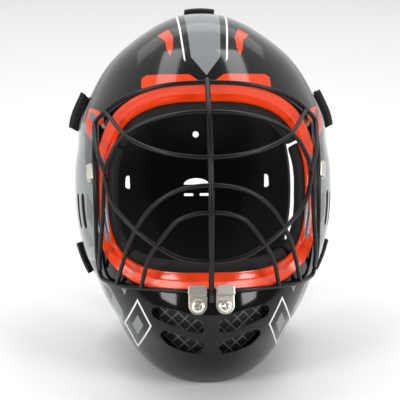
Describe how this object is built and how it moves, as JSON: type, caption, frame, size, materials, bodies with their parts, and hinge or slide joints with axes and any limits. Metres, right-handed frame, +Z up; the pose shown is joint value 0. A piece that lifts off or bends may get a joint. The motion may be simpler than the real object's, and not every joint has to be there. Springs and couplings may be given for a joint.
{
  "type": "floorball goalie mask",
  "caption": "Floorball goalie mask: a gloss shell with a wire cage over its face opening, foam pads, chin vents with mesh, and a back plate held by elastic straps.",
  "frame": {"origin": "middle of the underside, where the lower rim rests", "axes": "+Z up, the face towards -Y and leaning back by 17 degrees, +X to the viewer's right in the front view"},
  "size_m": [0.2338, 0.2908, 0.2878],
  "materials": {
    "gloss_shell": "gloss",
    "black_plastic": "satin",
    "foam": "matte foam",
    "wire": "semi-gloss coating",
    "bright_metal": "polished",
    "webbing": "woven"
  },
  "bodies": {
    "root": {"front_shell": "gloss_shell", "back_plate": "black_plastic", "brow_pad": "foam", "cheek_pad_left": "foam", "cheek_pad_right": "foam", "chin_pad": "foam", "cage": "wire", "chin_clip_left": "bright_metal", "chin_clip_right": "bright_metal", "side_clip_left": "bright_metal", "side_clip_right": "bright_metal", "chin_screw_left": "bright_metal", "chin_screw_right": "bright_metal", "vent_mesh_left": "black_plastic", "vent_mesh_right": "black_plastic", "strap_upper_left": "webbing", "strap_upper_right": "webbing", "strap_lower_left": "webbing", "strap_lower_right": "webbing", "strap_top": "webbing"}
  },
  "joints": []
}
